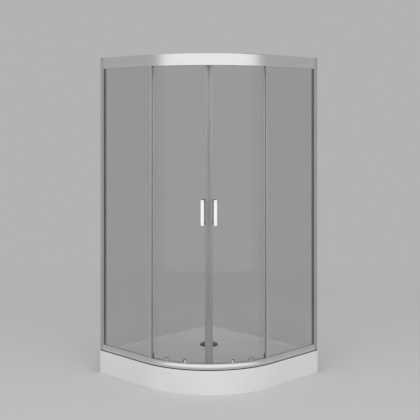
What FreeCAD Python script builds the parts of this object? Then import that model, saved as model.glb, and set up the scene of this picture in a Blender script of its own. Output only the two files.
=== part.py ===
# Quadrant shower enclosure: a shower tray with a curved front, two fixed glass
# panels at the walls and two curved glass doors that part in the middle.
#
# Millimetres, +Z up. The origin is on the floor, under the middle of the plan.
# The walls stand at x = -side/2 and y = +side/2, and the curved front faces +X, -Y.
# "inset" is a distance from the tray's outer edge towards the cabin, and "angle" is an
# angle round the arc's centre, counted from the middle of the curved front.
# Left-hand pieces are drawn, and right-hand ones are mirrored in the diagonal.

import FreeCAD, Part
import Sketcher
import math
import os
import re

V = FreeCAD.Vector

SIZES = {
    # plan and heights
    "side": 1000,
    "corner_radius": 550,
    "tray_height": 145,
    "frame_height": 1900,
    # tray shell
    "acrylic": 5,
    "edge_round": 3,
    "wall_lip": 20,
    "rim_wall": 45,
    "rim_front": 72,
    "basin_depth": 35,
    "slope_wall": 115,
    "slope_front": 24,
    "rim_back_round": 110,
    "floor_back_round": 190,
    "end_round": 35,
    "board_thick": 12,
    "board_margin": 14,
    "board_gap": 4,
    # tray frame, legs and feet
    "tube": 25,
    "tube_wall": 1.5,
    "bay_left": 200,
    "bay_right": 560,
    "bay_back": 200,
    "bay_front": 560,
    "leg_reach": 210,
    "tube_end": 30,
    "rod_radius": 5.9,
    "rod_hole": 6.3,
    "nut_radius": 10.6,
    "nut_height": 8,
    "foot_radius": 24,
    "foot_neck": 11,
    "foot_height": 16,
    "foot_rim": 5,
    "foot_bevel": 2,
    "foot_pocket": 8,
    # waste and drain
    "drain_offset": 298,
    "recess_radius": 62,
    "recess_depth": 6,
    "bore_radius": 44,
    "flange_radius": 58,
    "flange_thick": 1.5,
    "throat_radius": 40,
    "throat_wall": 2,
    "throat_length": 24,
    "seal_thick": 1.8,
    "trap_radius": 52,
    "trap_wall": 3,
    "trap_bottom": 14,
    "trap_neck": 14,
    "trap_bevel": 5,
    "stub_radius": 26,
    "stub_length": 22,
    "socket_depth": 10,
    "union_radius": 30,
    "union_length": 12,
    "union_cap": 5,
    "pipe_height": 45,
    "pipe_radius": 20,
    "pipe_wall": 2,
    "pipe_reach": 60,
    "collar_radius": 23,
    "collar_width": 3,
    "cover_radius": 60,
    "cover_thick": 10,
    "cover_skin": 1.4,
    "cover_skirt": 9,
    "skirt_clear": 1,
    "skirt_wall": 2,
    "cover_lip": 4,
    "cover_crown": 1,
    # clearances
    "fit": 0.3,
    "slip": 0.2,
    "ease": 0.1,
    "bevel": 1,
    "overcut": 1,
    # aluminium frame
    "rail_inset": 3,
    "skin": 1.8,
    "channel_width": 31,
    "wall_flange": 12,
    "post_start": 4,
    "post_edge": 30,
    "pocket_depth": 14,
    "cap_thick": 1.5,
    "groove_offset": 8.8,
    "gasket": 1.2,
    "glass": 6,
    "web": 1.4,
    "lane": 14.1,
    "top_rail_height": 73,
    "track_drop": 52,
    "track_thick": 2,
    "top_groove": 12.5,
    "rail_lip": 3,
    "rail_round": 4,
    "bottom_rail_height": 38.5,
    "bottom_groove": 21,
    "nose_radius": 31,
    "nose_tuck": 1.5,
    "hook_lip": 3.5,
    "gasket_proud": 1.5,
    # screws and blocks of the frame
    "screw_radius": 2,
    "screw_head": 3.8,
    "screw_head_thick": 2.2,
    "screw_length": 9,
    "screw_point": 1.5,
    "screw_tip": 0.5,
    "screw_end": 150,
    "wall_hole": 2.6,
    "wall_hole_end": 100,
    "wall_hole_inset": 10,
    "block_length": 28,
    # fixed panels
    "stile_angle": 41.85,
    "stile_half": 10.5,
    "stile_web": 4.5,
    "stile_front": 8.5,
    "stile_back": 22.5,
    "stile_round": 1.5,
    "lip_root": 2,
    "lip_reach": 3,
    "lip_thick": 1.6,
    "lip_end": 39,
    "lip_margin": 26,
    # doors
    "door_clear": 4,
    "door_step": 2.9,
    "door_low": 10,
    "door_top_drop": 20,
    "edge_face": 23.5,
    "edge_back": 3.4,
    "edge_web": 9,
    "edge_floor": 2,
    "meet_gap": 0.25,
    "trail_angle": 43.7,
    "trail_half": 8,
    "sweep_thick": 1.2,
    "sweep_leg": 14,
    "sweep_drop": 8,
    # handles
    "handle_angle": 4.2,
    "handle_width": 22.5,
    "handle_length": 155,
    "handle_thick": 10,
    "handle_gap": 24,
    "handle_centre": 942,
    "handle_post_radius": 6.5,
    "handle_post_edge": 14,
    "handle_bolt": 3,
    "bolt_reach": 12,
    "handle_hole": 5.5,
    "handle_round": 2,
    # rollers
    "front_angle": 16.5,
    "rear_angle": 30.5,
    "wheel_gap": 3.8,
    "wheel_width": 4.5,
    "rim_bevel": 0.6,
    "spindle_head": 0.8,
    "axle_head": 1.5,
    "bore_clear": 0.05,
    "side_clear": 0.15,
    "upper_wheel": 13,
    "upper_axle": 3,
    "upper_hole": 7,
    "upper_flange": 9,
    "upper_cap": 12,
    "upper_cap_deep": 8,
    "lower_wheel": 7.7,
    "lower_axle": 2,
    "lower_drop": 14,
    "lower_hole": 11,
    "lower_cap": 15,
    "lower_cap_deep": 8,
    "lower_disc": 17,
    "button_well": 7,
    "button_land": 9.5,
    "button_dip": 1.5,
    "plate_half": 9,
    "plate_low": 5,
    "plate_high": 14,
    "stud": 2.5,
    "slot_up": 2.8,
    "slot_down": 9.3,
    "bush_flange": 13,
    "bush_flange_thick": 1.5,
    "spring_wire": 0.25,
    "spring_radius": 2.1,
    "spring_pitch": 2,
    # track stops
    "stop_height": 20,
    "stop_half": 5,
    "stop_gap": 1.5,
    "open_stop": 137,
}

# Values worked out from the sizes above. Each may use the names before it.
DERIVED = {
    "half": "side/2",
    "straight": "side - corner_radius",
    "arc_x": "side/2 - corner_radius",
    "arc_y": "corner_radius - side/2",
    "top": "tray_height + frame_height",
    # tray levels
    "deck_under": "tray_height - acrylic",
    "basin_floor": "tray_height - basin_depth",
    "floor_under": "basin_floor - acrylic",
    "floor_wall": "rim_wall + slope_wall",
    "floor_front": "rim_front + slope_front",
    "board_low": "floor_under - board_thick",
    "frame_low": "board_low - tube",
    "drain_x": "drain_offset - half",
    "drain_y": "half - drain_offset",
    "seat": "basin_floor - recess_depth",
    "seat_under": "seat - acrylic",
    "trap_top": "seat_under - seal_thick",
    "flange_top": "seat + flange_thick",
    # insets of the glass, grooves and lanes
    "groove_out": "rail_inset + groove_offset",
    "fixed_out": "groove_out + gasket",
    "fixed_in": "fixed_out + glass",
    "groove_in": "fixed_in + gasket",
    "lane_out": "groove_in + web",
    "lane_in": "lane_out + lane",
    "rail_in": "lane_in + web",
    "door_face": "rail_in + door_clear",
    "door_out": "door_face + door_step",
    "door_in": "door_out + glass",
    "door_mid": "door_out + glass/2",
    "door_back": "door_in + edge_back",
    # levels of the frame
    "track": "top - track_drop",
    "top_rail_low": "top - top_rail_height",
    "top_groove_end": "top_rail_low + top_groove",
    "bottom_rail_top": "tray_height + bottom_rail_height",
    "bottom_groove_end": "bottom_rail_top - bottom_groove",
    "hook": "bottom_rail_top - track_thick",
    "frame_top": "top - cap_thick",
    "fixed_low": "bottom_groove_end + gasket",
    "fixed_high": "top_groove_end - gasket",
    "door_bottom": "tray_height + door_low",
    "door_top": "top - door_top_drop",
    # rollers
    "wheel_out": "lane_out + wheel_gap + spindle_head + side_clear",
    "wheel_in": "wheel_out + wheel_width",
    "head_out": "lane_out + wheel_gap",
    "upper_z": "track + fit + upper_wheel",
    "lower_wheel_z": "hook - fit - lower_wheel",
    "lower_z": "lower_wheel_z + lower_drop",
    "handle_z": "tray_height + handle_centre",
    "stop_turn": "(upper_wheel + stop_half + stop_gap)/(corner_radius - wheel_out)*180/pi",
}

doc = FreeCAD.newDocument("quadrant_shower_enclosure")
sheet = doc.addObject("Spreadsheet::Sheet", "Sizes")
for row, (alias, value) in enumerate(SIZES.items(), start=1):
    sheet.set(f"A{row}", alias)
    sheet.set(f"B{row}", str(value))
    sheet.setAlias(f"B{row}", alias)
doc.recompute()

parts = {}  # node name: document object


def formula(text):
    """A formula in the sizes' names, as an expression on the sheet's cells."""

    def cell(match):
        word = match.group(0)
        if word in DERIVED:
            return "(" + formula(DERIVED[word]) + ")"
        return "Sizes." + word if word in SIZES else word

    return re.sub(r"[A-Za-z_]\w*", cell, str(text))


def number(text):
    return float(sheet.evalExpression(formula(text)))


def bind(item, **values):
    for name, text in values.items():
        item.setExpression(name, formula(text))
    return item


def place(item, x=0, y=0, z=0, turn=0, tip=0, roll=0):
    """Binds the Placement: turn is about Z, tip about Y, roll about X, in degrees."""
    spot = f"placement(vector({x}; {y}; {z}); rotation({turn}; {tip}; {roll}))"
    item.setExpression("Placement", formula(spot))
    return item


def keep(item, node):
    item.Label = node
    parts[node] = item
    return item


def add(kind, name, **values):
    return bind(doc.addObject(kind, name), **values)


# ---------------------------------------------------------------- drawing helpers


def origin_item(body, role):
    return next(item for item in body.Origin.OriginFeatures if item.Role == role)


def new_sketch(body, plane, height=None):
    sketch = body.newObject("Sketcher::SketchObject", body.Name + "_sketch")
    sketch.AttachmentSupport = [(origin_item(body, plane), "")]
    sketch.MapMode = "FlatFace"
    if height is not None:
        sketch.setExpression("AttachmentOffset.Base.z", formula(height))
    return sketch


def arc_edge(start, end, radius):
    """Arc from start to end, with its centre on the left."""
    a, b = V(*start), V(*end)
    chord = b - a
    reach = math.sqrt(max(radius**2 - chord.Length**2 / 4, 0))
    centre = (a + b) / 2 + V(-chord.y, chord.x, 0).normalize() * reach
    angles = [math.atan2(p.y - centre.y, p.x - centre.x) for p in (a, b)]
    return Part.ArcOfCircle(Part.Circle(centre, V(0, 0, 1), radius), *angles)


def draw(sketch, outline):
    """Draws a closed outline of (x, y) corners, anticlockwise where it has arcs.

    An arc follows a corner that is (x, y, radius).
    """
    spots = [(number(corner[0]), number(corner[1])) for corner in outline]
    count = len(outline)
    for i, corner in enumerate(outline):
        start, end = spots[i], spots[(i + 1) % count]
        if len(corner) == 3:
            sketch.addGeometry(arc_edge(start, end, number(corner[2])))
        else:
            sketch.addGeometry(Part.LineSegment(V(*start), V(*end)))
    for i in range(count):
        sketch.addConstraint(Sketcher.Constraint("Coincident", i, 2, (i + 1) % count, 1))
    for i, corner in enumerate(outline):
        for kind, size, text in zip(("DistanceX", "DistanceY"), spots[i], corner):
            tie(sketch, text, kind, -1, 1, i, 1, size)
        if len(corner) == 3:
            tie(sketch, corner[2], "Radius", i, number(corner[2]))
    return sketch


def tie(sketch, text, *constraint):
    """Adds a constraint and ties its size to a formula."""
    index = sketch.addConstraint(Sketcher.Constraint(*constraint))
    sketch.setExpression(f"Constraints[{index}]", formula(text))


def draw_circle(sketch, x, y, radius):
    centre = V(number(x), number(y), 0)
    sketch.addGeometry(Part.Circle(centre, V(0, 0, 1), number(radius)))
    tie(sketch, x, "DistanceX", -1, 1, 0, 3, centre.x)
    tie(sketch, y, "DistanceY", -1, 1, 0, 3, centre.y)
    tie(sketch, radius, "Radius", 0, number(radius))
    return sketch


def pad(body, sketch, length, reversed_=False):
    feature = body.newObject("PartDesign::Pad", body.Name + "_pad")
    feature.Profile = sketch
    feature.Reversed = reversed_
    return bind(feature, Length=length)


def pocket(body, sketch, length):
    """Cuts upwards from the sketch."""
    feature = body.newObject("PartDesign::Pocket", body.Name + "_pocket")
    feature.Profile = sketch
    feature.Reversed = True
    return bind(feature, Length=length)


def revolve(body, sketch, angle):
    feature = body.newObject("PartDesign::Revolution", body.Name + "_turn")
    feature.Profile = sketch
    feature.ReferenceAxis = (sketch, ["V_Axis"])
    return bind(feature, Angle=angle)


def plan_body(name, outline, low, high, x=0, y=0, turn=0):
    """An upright piece: its plan outline, raised from low to high."""
    body = doc.addObject("PartDesign::Body", name)
    pad(body, draw(new_sketch(body, "XY_Plane"), outline), f"({high}) - ({low})")
    return place(body, x, y, low, turn)


def turned_body(name, outline, **spot):
    """A turned piece: its half section as (radius, height along the axis)."""
    body = doc.addObject("PartDesign::Body", name)
    revolve(body, draw(new_sketch(body, "XZ_Plane"), outline), 360)
    return place(body, **spot)


def section(outline):
    """A section given as (inset, height) corners, as (radius from the arc's centre, height)."""
    return [
        (f"corner_radius - ({corner[0]})", corner[1], *corner[2:]) for corner in outline
    ]


def left_run(name, outline, from_wall, end_angle):
    """A piece along the left straight and on round the arc, to end_angle."""
    body = doc.addObject("PartDesign::Body", name)
    sketch = draw(new_sketch(body, "XZ_Plane"), section(outline))
    pad(body, sketch, f"straight - ({from_wall})")
    revolve(body, sketch, f"45 - ({end_angle})")
    return place(body, "arc_x", "arc_y", 0, -90)


def whole_run(name, outline, from_wall):
    """A piece along the left straight, round the whole arc and along the right straight."""
    body = left_run(name, outline, from_wall, -45)
    sketch = draw(new_sketch(body, "YZ_Plane"), section(outline))
    pad(body, sketch, f"straight - ({from_wall})", reversed_=True)
    return body


def arc_run(name, outline, start_angle, end_angle):
    """A piece of the left half of the arc, between two angles from the middle."""
    body = doc.addObject("PartDesign::Body", name)
    sketch = draw(new_sketch(body, "XZ_Plane"), section(outline))
    revolve(body, sketch, f"({end_angle}) - ({start_angle})")
    return place(body, "arc_x", "arc_y", 0, f"-45 - ({end_angle})")


def box(name, x, y, z):
    """A box between pairs of formulas, each (low, high)."""
    item = add(
        "Part::Box",
        name,
        Length=f"({x[1]}) - ({x[0]})",
        Width=f"({y[1]}) - ({y[0]})",
        Height=f"({z[1]}) - ({z[0]})",
    )
    return place(item, x[0], y[0], z[0])


def rod(name, radius, length, **spot):
    item = add("Part::Cylinder", name, Radius=radius, Height=length)
    return place(item, **spot)


def fuse(name, *items):
    item = doc.addObject("Part::MultiFuse", name)
    item.Shapes = list(items)
    item.Refine = True
    return item


def cut(name, base, *tools):
    item = doc.addObject("Part::Cut", name)
    item.Base = base
    item.Tool = tools[0] if len(tools) == 1 else fuse(name + "_tools", *tools)
    return item


def group(name, *items):
    item = doc.addObject("Part::Compound", name)
    item.Links = list(items)
    return item


def mirrored(item, name):
    """The same piece on the other side of the diagonal."""
    copy = doc.addObject("Part::Mirroring", name)
    copy.Source = item
    copy.Normal = V(1, 1, 0)
    return copy


def pair(item, node):
    """Keeps a left-hand piece and its mirror image as two nodes."""
    keep(item, node.format("left"))
    keep(mirrored(item, node.format("right")), node.format("right"))


def both(item, node):
    """Keeps a left-hand piece and its mirror image as one node."""
    keep(group(node, item, mirrored(item, node + "_mirror")), node)


def u_section(out, slot_out, slot_in, inner, low, slot, high):
    """A U that opens upwards, round the edge of a glass pane."""
    return [
        (out, low),
        (out, high),
        (slot_out, high),
        (slot_out, slot),
        (slot_in, slot),
        (slot_in, high),
        (inner, high),
        (inner, low),
    ]


# ---------------------------------------------------------------- shower tray


def plain_outline(wall, front):
    """The tray's plan, drawn in by wall at the two walls and by front at the curved front."""
    return [
        (f"{wall} - half", f"{front} - half"),
        ("arc_x", f"{front} - half", f"corner_radius - ({front})"),
        (f"half - ({front})", "arc_y"),
        (f"half - ({front})", f"half - ({wall})"),
        (f"{wall} - half", f"half - ({wall})"),
    ]


def basin_outline(wall, front, back_round, end_round):
    """As plain_outline, with a round at the wall corner and one at each end."""
    left, back = f"({wall} - half)", f"(half - ({wall}))"
    right, low = f"(half - ({front}))", f"({front} - half)"
    return [
        (f"{left} + {end_round}", low),
        ("arc_x", low, f"corner_radius - ({front})"),
        (right, "arc_y"),
        (right, f"{back} - {end_round}", end_round),
        (f"{right} - {end_round}", back),
        (f"{left} + {back_round}", back, back_round),
        (left, f"{back} - {back_round}"),
        (left, f"{low} + {end_round}", end_round),
    ]


def loft(body, kind, wide, narrow):
    """Joins two (height, outline) sections of the basin."""
    sketches = [
        draw(new_sketch(body, "XY_Plane", height), outline)
        for height, outline in (wide, narrow)
    ]
    feature = body.newObject(kind, body.Name + "_loft")
    feature.Profile = sketches[0]
    feature.Sections = [sketches[1]]
    feature.Ruled = True
    return feature


def front_top_edges(shape):
    """Names of the curved front's edges at the top of the tray."""
    names = []
    for index, edge in enumerate(shape.Edges, start=1):
        middle = edge.CenterOfMass
        level = abs(middle.z - number("tray_height")) < 1e-6
        at_wall = abs(middle.x + number("half")) < 1e-6
        at_wall = at_wall or abs(middle.y - number("half")) < 1e-6
        if level and not at_wall:
            names.append(f"Edge{index}")
    return names


def tray_shell():
    body = doc.addObject("PartDesign::Body", "tray_shell")
    block = pad(
        body,
        draw(new_sketch(body, "XY_Plane"), plain_outline("0", "0")),
        "tray_height",
    )
    doc.recompute()
    rounding = body.newObject("PartDesign::Fillet", "tray_edge")
    rounding.Base = (block, front_top_edges(block.Shape))
    bind(rounding, Radius="edge_round")
    doc.recompute()
    skirt = draw(new_sketch(body, "XY_Plane"), plain_outline("0", "acrylic"))
    pocket(body, skirt, "tray_height - wall_lip")
    under = draw(new_sketch(body, "XY_Plane"), plain_outline("acrylic", "acrylic"))
    pocket(body, under, "deck_under")
    wide = "rim_wall - acrylic", "rim_front - acrylic"
    narrow = "floor_wall - acrylic", "floor_front - acrylic"
    loft(
        body,
        "PartDesign::AdditiveLoft",
        ("deck_under", basin_outline(*wide, "rim_back_round", "end_round")),
        ("floor_under", basin_outline(*narrow, "floor_back_round", "end_round")),
    )
    loft(
        body,
        "PartDesign::SubtractiveLoft",
        ("tray_height", basin_outline("rim_wall", "rim_front", "rim_back_round", "end_round")),
        ("basin_floor", basin_outline("floor_wall", "floor_front", "floor_back_round", "end_round")),
    )
    cup = draw_circle(
        new_sketch(body, "XY_Plane", "seat_under"), "drain_x", "drain_y", "recess_radius + acrylic"
    )
    pad(body, cup, "floor_under - seat_under")
    recess = draw_circle(new_sketch(body, "XY_Plane", "seat"), "drain_x", "drain_y", "recess_radius")
    pocket(body, recess, "recess_depth + acrylic")
    bore = draw_circle(
        new_sketch(body, "XY_Plane", "seat_under"), "drain_x", "drain_y", "bore_radius"
    )
    pocket(body, bore, "acrylic + recess_depth")
    keep(body, "tray_shell")


def tray_board():
    body = doc.addObject("PartDesign::Body", "tray_board")
    outline = basin_outline(
        "floor_wall + board_margin", "floor_front + board_margin", "floor_back_round", "end_round"
    )
    pad(body, draw(new_sketch(body, "XY_Plane"), outline), "board_thick")
    place(body, 0, 0, "board_low")
    hole = rod(
        "board_hole", "recess_radius + acrylic + board_gap", "board_thick + 2*overcut",
        x="drain_x", y="drain_y", z="board_low - overcut",
    )
    keep(cut("tray_board_cut", body, hole), "tray_board")


# Middle lines of the four tubes under the board.
TUBES = {
    "left": "(bay_left - half)",
    "right": "(bay_right - half)",
    "back": "(half - bay_back)",
    "front": "(half - bay_front)",
}
LEG_SPOTS = [
    (TUBES["left"], TUBES["back"]),
    (f"{TUBES['right']} + leg_reach", TUBES["back"]),
    (f"{TUBES['right']} + leg_reach", TUBES["front"]),
    (TUBES["left"], f"{TUBES['front']} - leg_reach"),
    (TUBES["right"], f"{TUBES['front']} - leg_reach"),
]


def tube_block(name, side, inset):
    """A tube's outside, or its bore where an inset is given."""
    across = (f"{TUBES[side]} - tube/2 + {inset}", f"{TUBES[side]} + tube/2 - {inset}")
    level = (f"frame_low + {inset}", f"frame_low + tube - {inset}")
    reach = "(leg_reach + tube_end)"
    if side in ("back", "front"):
        ends = (f"{TUBES['left']} - tube_end", f"{TUBES['right']} + {reach}")
        return box(name + side, ends, across, level)
    ends = (f"{TUBES['front']} - {reach}", f"{TUBES['back']} + tube_end")
    return box(name + side, across, ends, level)


def tray_frame():
    outer = [tube_block("tube_", side, "0") for side in TUBES]
    inner = [tube_block("bore_", side, "tube_wall") for side in TUBES]
    holes = [
        rod("leg_hole", "rod_hole", "tube + 2*overcut", x=x, y=y, z="frame_low - overcut")
        for x, y in LEG_SPOTS
    ]
    keep(cut("tray_frame_cut", fuse("tray_tubes", *outer), *inner, *holes), "tray_frame")


def tray_legs():
    """Threaded rods with two nuts each, standing in the pockets of plastic feet."""
    legs, feet = [], []
    for x, y in LEG_SPOTS:
        length = "board_low - foot_pocket - overcut"
        legs.append(rod("leg_rod", "rod_radius", length, x=x, y=y, z="foot_pocket"))
        for level in ("frame_low - nut_height", "foot_height + fit"):
            nut = add("Part::Prism", "nut", Circumradius="nut_radius", Height="nut_height")
            nut.Polygon = 6
            place(nut, x, y, level)
            bore = rod(
                "nut_bore", "rod_hole", "nut_height + 2*overcut",
                x=x, y=y, z=f"{level} - overcut",
            )
            legs.append(cut("leg_nut", nut, bore))
        foot = [
            ("0", "0"),
            ("foot_radius - foot_bevel", "0"),
            ("foot_radius", "foot_bevel"),
            ("foot_radius", "foot_rim"),
            ("foot_neck", "foot_height"),
            ("rod_hole", "foot_height"),
            ("rod_hole", "foot_pocket"),
            ("0", "foot_pocket"),
        ]
        feet.append(turned_body("foot", foot, x=x, y=y))
    keep(group("legs", *legs), "tray_legs")
    keep(group("feet", *feet), "tray_feet")


# ---------------------------------------------------------------- waste


def ring(name, inner, outer, low, high):
    """A flat ring round the drain's axis."""
    outline = [(inner, low), (outer, low), (outer, high), (inner, high)]
    return turned_body(name, outline, x="drain_x", y="drain_y")


def waste():
    flange = turned_body(
        "waste_flange_body",
        [
            ("throat_radius", "seat - throat_length"),
            ("throat_radius + throat_wall", "seat - throat_length"),
            ("throat_radius + throat_wall", "seat"),
            ("flange_radius", "seat"),
            ("flange_radius", "flange_top - bevel/2"),
            ("flange_radius - bevel/2", "flange_top"),
            ("throat_radius", "flange_top"),
        ],
        x="drain_x",
        y="drain_y",
    )
    keep(flange, "waste_flange")
    keep(ring("waste_seal", "bore_radius", "trap_radius", "trap_top", "seat_under"), "waste_seal")

    neck = "throat_radius + throat_wall + fit"
    wall = "trap_radius - trap_wall"
    pot = turned_body(
        "trap_pot",
        [
            ("0", "trap_bottom"),
            ("trap_radius - trap_bevel", "trap_bottom"),
            ("trap_radius", "trap_bottom + trap_bevel"),
            ("trap_radius", "trap_top"),
            (neck, "trap_top"),
            (neck, "trap_top - trap_neck"),
            (wall, "trap_top - trap_neck"),
            (wall, "trap_bottom + trap_wall + trap_bevel"),
            (f"{wall} - trap_bevel", "trap_bottom + trap_wall"),
            ("0", "trap_bottom + trap_wall"),
        ],
        x="drain_x",
        y="drain_y",
    )
    spot = {"y": "drain_y", "z": "pipe_height", "tip": 90}
    mouth = "(drain_x - trap_radius - stub_length)"
    stub = rod("trap_stub", "stub_radius", "stub_length + trap_wall/2", x=mouth, **spot)
    way = rod("trap_way", "pipe_radius - pipe_wall", "stub_length + 2*trap_wall", x=mouth, **spot)
    socket = rod("trap_socket", "pipe_radius + fit", "socket_depth + fit", x=mouth, **spot)
    keep(cut("trap", fuse("trap_shell", pot, stub), way, socket), "waste_body")

    length = f"{mouth} + socket_depth + half"
    pipe = rod("pipe_outside", "pipe_radius", length, x="-half", **spot)
    collar = rod("pipe_collar", "collar_radius", "collar_width", x="pipe_reach - half", **spot)
    bore = rod(
        "pipe_bore", "pipe_radius - pipe_wall", f"{length} + 2*overcut",
        x="-half - overcut", **spot,
    )
    keep(cut("pipe", fuse("pipe_shell", pipe, collar), bore), "outlet_pipe")
    nut = turned_body(
        "union_nut",
        [
            ("pipe_radius + fit", "-union_cap"),
            ("union_radius - bevel", "-union_cap"),
            ("union_radius", "bevel - union_cap"),
            ("union_radius", "union_length - bevel"),
            ("union_radius - bevel", "union_length"),
            ("stub_radius + fit", "union_length"),
            ("stub_radius + fit", "-fit"),
            ("pipe_radius + fit", "-fit"),
        ],
        x=mouth,
        **spot,
    )
    keep(nut, "outlet_nut")

    cover_low, cover_top = "flange_top + fit", "flange_top + fit + cover_thick"
    skirt = "throat_radius - skirt_clear"
    cover = turned_body(
        "drain_cover_body",
        [
            ("0", f"{cover_top} - cover_skin"),
            (f"{skirt} - skirt_wall", f"{cover_top} - cover_skin"),
            (f"{skirt} - skirt_wall", "flange_top - cover_skirt"),
            (skirt, "flange_top - cover_skirt"),
            (skirt, cover_low),
            ("cover_radius - cover_lip", cover_low),
            ("cover_radius - cover_lip", f"{cover_low} + bevel"),
            ("cover_radius - bevel", f"{cover_low} + bevel"),
            ("cover_radius", f"{cover_low} + 2*bevel"),
            ("cover_radius", f"{cover_top} - bevel"),
            ("cover_radius - bevel", cover_top),
            ("0", f"{cover_top} + cover_crown"),
        ],
        x="drain_x",
        y="drain_y",
    )
    keep(cover, "drain_cover")


# ---------------------------------------------------------------- aluminium frame


def at_wall(name, outline, low, high):
    """An upright piece at the left wall: (distance from the wall, inset) outline."""
    return plan_body(name, outline, low, high, "-half", "-half")


def post_levels(end):
    """Three levels on a post: one at a distance from each of its ends, and one midway."""
    return [f"tray_height + {end} + {i}*(frame_height/2 - {end})" for i in range(3)]


def wall_frame():
    back = "rail_inset + channel_width"
    channel = at_wall(
        "wall_channel",
        [
            ("0", "rail_inset"),
            ("wall_flange", "rail_inset"),
            ("wall_flange", "rail_inset + skin"),
            ("skin", "rail_inset + skin"),
            ("skin", f"{back} - skin"),
            ("wall_flange", f"{back} - skin"),
            ("wall_flange", back),
            ("0", back),
        ],
        "tray_height",
        "frame_top",
    )
    front, rear = "rail_inset + skin + slip", f"({back} - skin - slip)"
    pocket_end = "(post_edge - pocket_depth)"
    post = at_wall(
        "post",
        [
            ("post_start", front),
            ("post_edge", front),
            ("post_edge", "groove_out"),
            (pocket_end, "groove_out"),
            (pocket_end, "groove_in"),
            ("post_edge", "groove_in"),
            ("post_edge", rear),
            ("post_start", rear),
            ("post_start", f"{rear} - skin"),
            ("post_edge - skin", f"{rear} - skin"),
            ("post_edge - skin", "groove_in + web"),
            (f"{pocket_end} - web", "groove_in + web"),
            (f"{pocket_end} - web", f"{front} + skin"),
            ("post_start", f"{front} + skin"),
        ],
        "tray_height",
        "frame_top",
    )
    wall_holes = [
        rod("wall_hole", "wall_hole", "skin + 2*overcut", x="-half - overcut",
            y=f"{back} - wall_hole_inset - half", z=level, tip=90)
        for level in post_levels("wall_hole_end")
    ]
    channel_holes, post_holes, screws = [], [], []
    for level in post_levels("screw_end"):
        spot = {"x": "(post_start + wall_flange)/2 - half", "z": level, "roll": 90}
        for name, holes in (("channel", channel_holes), ("post", post_holes)):
            holes.append(
                rod(name + "_screw_hole", "screw_radius + fit/2", "2*skin + 3*overcut",
                    y=f"{back} + overcut - half", **spot)
            )
        screws.append(screw("post_screw", y=f"{back} + ease - half", **spot))
    pair(cut("channel_cut", channel, *wall_holes, *channel_holes), "wall_profile_{}")
    pair(cut("post_cut", post, *post_holes), "side_post_{}")

    plate = at_wall(
        "cap_plate",
        [
            ("0", "rail_inset"),
            ("post_edge", "rail_inset"),
            ("post_edge", back),
            ("0", back),
        ],
        "frame_top",
        "top",
    )
    both(plate, "post_caps")
    return screws


def screw(name, **spot):
    """A pan-head screw: its head below its seat at 0, its shank up the axis."""
    return turned_body(
        name,
        [
            ("0", "-screw_head_thick"),
            ("screw_head - bevel", "-screw_head_thick"),
            ("screw_head", "bevel - screw_head_thick"),
            ("screw_head", "0"),
            ("screw_radius", "0"),
            ("screw_radius", "screw_length - screw_point"),
            ("screw_tip", "screw_length"),
            ("0", "screw_length"),
        ],
        **spot,
    )


def corner_blocks(screws):
    """Blocks in the rails' ends that join them to the posts, each with a screw."""
    blocks = []
    levels = {
        "upper": ("track + slip", "top - rail_round - slip", "rail_inset + skin + slip"),
        "lower": ("tray_height + skin + slip", "hook - slip", "lane_out + slip"),
    }
    for name, (low, high, front) in levels.items():
        block = box(
            name + "_block",
            ("post_edge + slip - half", "post_edge + block_length - half"),
            (f"{front} - half", "lane_in - slip - half"),
            (low, high),
        )
        spot = {
            "x": "post_edge + block_length/2 - half",
            "z": f"({low} + {high})/2",
            "roll": 90,
        }
        hole = rod(name + "_block_hole", "screw_radius + fit/2", "screw_length + 3*overcut",
                   y="lane_in + overcut - half", **spot)
        blocks.append(cut(name + "_block_cut", block, hole))
        screws.append(screw(name + "_block_screw", y="lane_in - ease - half", **spot))
    both(group("left_blocks", *blocks), "corner_blocks")
    both(group("left_screws", *screws), "frame_screws")


def rails():
    top_rail = whole_run(
        "top_rail_run",
        [
            ("groove_out", "top_rail_low"),
            ("rail_inset + rail_round/2", "top_rail_low", "rail_round/2"),
            ("rail_inset", "top_rail_low + rail_round/2"),
            ("rail_inset", "top - rail_round", "rail_round"),
            ("rail_inset + rail_round", "top"),
            ("rail_in", "top"),
            ("rail_in", "top - 3*rail_lip"),
            ("lane_in", "top - 3*rail_lip"),
            ("lane_in", "top - skin"),
            ("rail_inset + rail_round", "top - skin"),
            ("rail_inset + skin", "top - rail_round"),
            ("rail_inset + skin", "track"),
            ("lane_in", "track"),
            ("lane_in", "track + rail_lip"),
            ("rail_in", "track + rail_lip"),
            ("rail_in", "track - track_thick"),
            ("lane_out", "track - track_thick"),
            ("lane_out", "top_rail_low"),
            ("groove_in", "top_rail_low"),
            ("groove_in", "top_groove_end"),
            ("groove_out", "top_groove_end"),
        ],
        "post_edge",
    )
    keep(top_rail, "top_rail")
    bottom_rail = whole_run(
        "bottom_rail_run",
        [
            ("rail_inset + nose_tuck", "tray_height", "nose_radius"),
            ("groove_out", "bottom_rail_top"),
            ("groove_out", "bottom_groove_end"),
            ("groove_in", "bottom_groove_end"),
            ("groove_in", "bottom_rail_top"),
            ("rail_in", "bottom_rail_top"),
            ("rail_in", "hook - hook_lip"),
            ("lane_in", "hook - hook_lip"),
            ("lane_in", "hook"),
            ("lane_out", "hook"),
            ("lane_out", "tray_height + skin"),
            ("rail_in", "tray_height + skin"),
            ("rail_in", "tray_height"),
        ],
        "post_edge",
    )
    keep(bottom_rail, "bottom_rail")


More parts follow.
